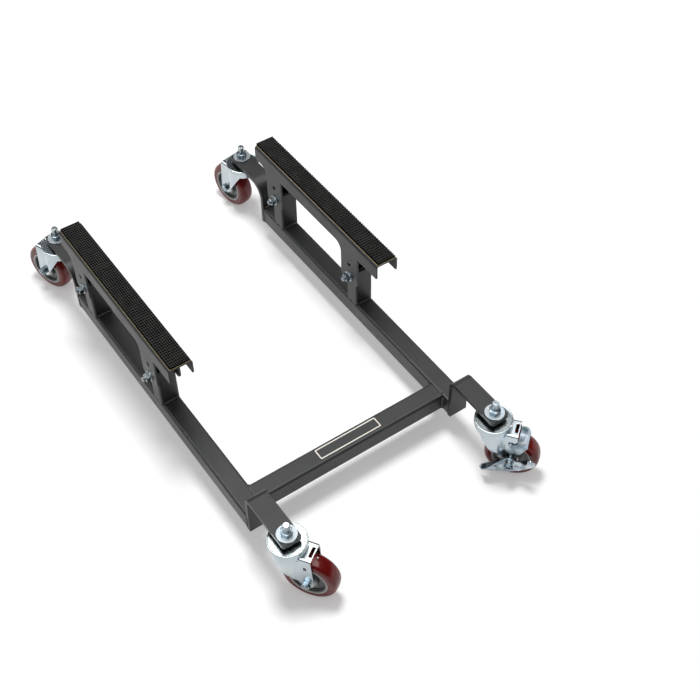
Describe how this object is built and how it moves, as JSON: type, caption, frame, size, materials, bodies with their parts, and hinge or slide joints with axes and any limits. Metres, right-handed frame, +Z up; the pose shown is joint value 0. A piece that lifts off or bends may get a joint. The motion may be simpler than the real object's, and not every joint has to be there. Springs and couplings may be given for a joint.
{
  "type": "motorcycle mover dolly",
  "caption": "Low welded dolly of square tube on swivel casters, with padded channel supports bolted to posts to carry a motorcycle by its lower frame, and a foot brake on a caster.",
  "frame": {"origin": "on the floor, midway between the rails and midway between the front and rear caster stems", "axes": "+X to the right, +Y to the rear, away from the cross tube, +Z up"},
  "size_m": [0.544, 1.0278, 0.2633],
  "materials": {
    "powder_coat": "satin black powder coat",
    "zinc_plate": "bright zinc plate",
    "bearing_steel": "ground bearing steel",
    "pad_rubber": "black rubber with moulded nubs",
    "pad_tape": "tan adhesive tape",
    "wheel_core": "dark grey moulded core",
    "tread": "maroon polyurethane"
  },
  "bodies": {
    "frame": {"left_rail": "powder_coat", "right_rail": "powder_coat", "cross_tube": "powder_coat", "front_left_arm": "powder_coat", "front_right_arm": "powder_coat", "rear_left_arm": "powder_coat", "rear_right_arm": "powder_coat", "front_left_post": "powder_coat", "front_right_post": "powder_coat", "rear_left_post": "powder_coat", "rear_right_post": "powder_coat", "left_support_channel": "powder_coat", "right_support_channel": "powder_coat", "frame_welds": "powder_coat", "left_pad_tape": "pad_tape", "right_pad_tape": "pad_tape", "left_pad": "pad_rubber", "right_pad": "pad_rubber", "support_bolts": "zinc_plate", "support_nuts": "zinc_plate", "support_washers": "zinc_plate", "caster_stems": "zinc_plate", "top_races": "zinc_plate", "stem_nuts": "zinc_plate", "stem_washers": "zinc_plate", "race_balls": "bearing_steel"},
    "front_left_caster": {"front_left_fork": "zinc_plate", "front_left_axle_bolt": "zinc_plate", "front_left_axle_nut": "zinc_plate", "front_left_axle_sleeve": "bearing_steel"},
    "front_left_wheel": {"front_left_wheel_core": "wheel_core", "front_left_tread": "tread", "front_left_wheel_bearings": "bearing_steel"},
    "front_right_caster": {"front_right_fork": "zinc_plate", "front_right_axle_bolt": "zinc_plate", "front_right_axle_nut": "zinc_plate", "front_right_axle_sleeve": "bearing_steel", "brake_pin": "zinc_plate"},
    "front_right_wheel": {"front_right_wheel_core": "wheel_core", "front_right_tread": "tread", "front_right_wheel_bearings": "bearing_steel"},
    "rear_left_caster": {"rear_left_fork": "zinc_plate", "rear_left_axle_bolt": "zinc_plate", "rear_left_axle_nut": "zinc_plate", "rear_left_axle_sleeve": "bearing_steel"},
    "rear_left_wheel": {"rear_left_wheel_core": "wheel_core", "rear_left_tread": "tread", "rear_left_wheel_bearings": "bearing_steel"},
    "rear_right_caster": {"rear_right_fork": "zinc_plate", "rear_right_axle_bolt": "zinc_plate", "rear_right_axle_nut": "zinc_plate", "rear_right_axle_sleeve": "bearing_steel"},
    "rear_right_wheel": {"rear_right_wheel_core": "wheel_core", "rear_right_tread": "tread", "rear_right_wheel_bearings": "bearing_steel"},
    "pedal": {"brake_pedal": "zinc_plate"},
    "shoe": {"brake_shoe": "zinc_plate"}
  },
  "joints": [
    {"name": "front_left_swivel", "type": "hinge", "parent": "frame", "child": "front_left_caster", "pos_m": [-0.217, -0.425, 0.118], "axis": [0, 0, 1], "continuous": true},
    {"name": "front_left_spin", "type": "hinge", "parent": "front_left_caster", "child": "front_left_wheel", "pos_m": [-0.19465, -0.45877, 0.0508], "axis": [0.8339, 0.5519, 0], "continuous": true},
    {"name": "front_right_swivel", "type": "hinge", "parent": "frame", "child": "front_right_caster", "pos_m": [0.217, -0.425, 0.118], "axis": [0, 0, 1], "continuous": true},
    {"name": "front_right_spin", "type": "hinge", "parent": "front_right_caster", "child": "front_right_wheel", "pos_m": [0.24254, -0.45643, 0.0508], "axis": [0.776, 0.6307, 0], "continuous": true},
    {"name": "rear_left_swivel", "type": "hinge", "parent": "frame", "child": "rear_left_caster", "pos_m": [-0.217, 0.425, 0.118], "axis": [0, 0, 1], "continuous": true},
    {"name": "rear_left_spin", "type": "hinge", "parent": "rear_left_caster", "child": "rear_left_wheel", "pos_m": [-0.23065, 0.46313, 0.0508], "axis": [-0.9415, -0.3371, 0], "continuous": true},
    {"name": "rear_right_swivel", "type": "hinge", "parent": "frame", "child": "rear_right_caster", "pos_m": [0.217, 0.425, 0.118], "axis": [0, 0, 1], "continuous": true},
    {"name": "rear_right_spin", "type": "hinge", "parent": "rear_right_caster", "child": "rear_right_wheel", "pos_m": [0.20976, 0.46485, 0.0508], "axis": [-0.9839, -0.1788, 0], "continuous": true},
    {"name": "brake_pedal_tilt", "type": "hinge", "parent": "front_right_caster", "child": "pedal", "pos_m": [0.2212, -0.47377, 0.0508], "axis": [0.776, 0.6307, 0], "range_deg": [0, 22]},
    {"name": "brake_shoe_tilt", "type": "hinge", "parent": "front_right_caster", "child": "shoe", "pos_m": [0.22351, -0.46868, 0.093], "axis": [0.776, 0.6307, 0], "range_deg": [0, 2.7]}
  ],
  "couplings": [
    {"joint": "brake_shoe_tilt", "follows": "brake_pedal_tilt", "ratio": 0.12263}
  ]
}
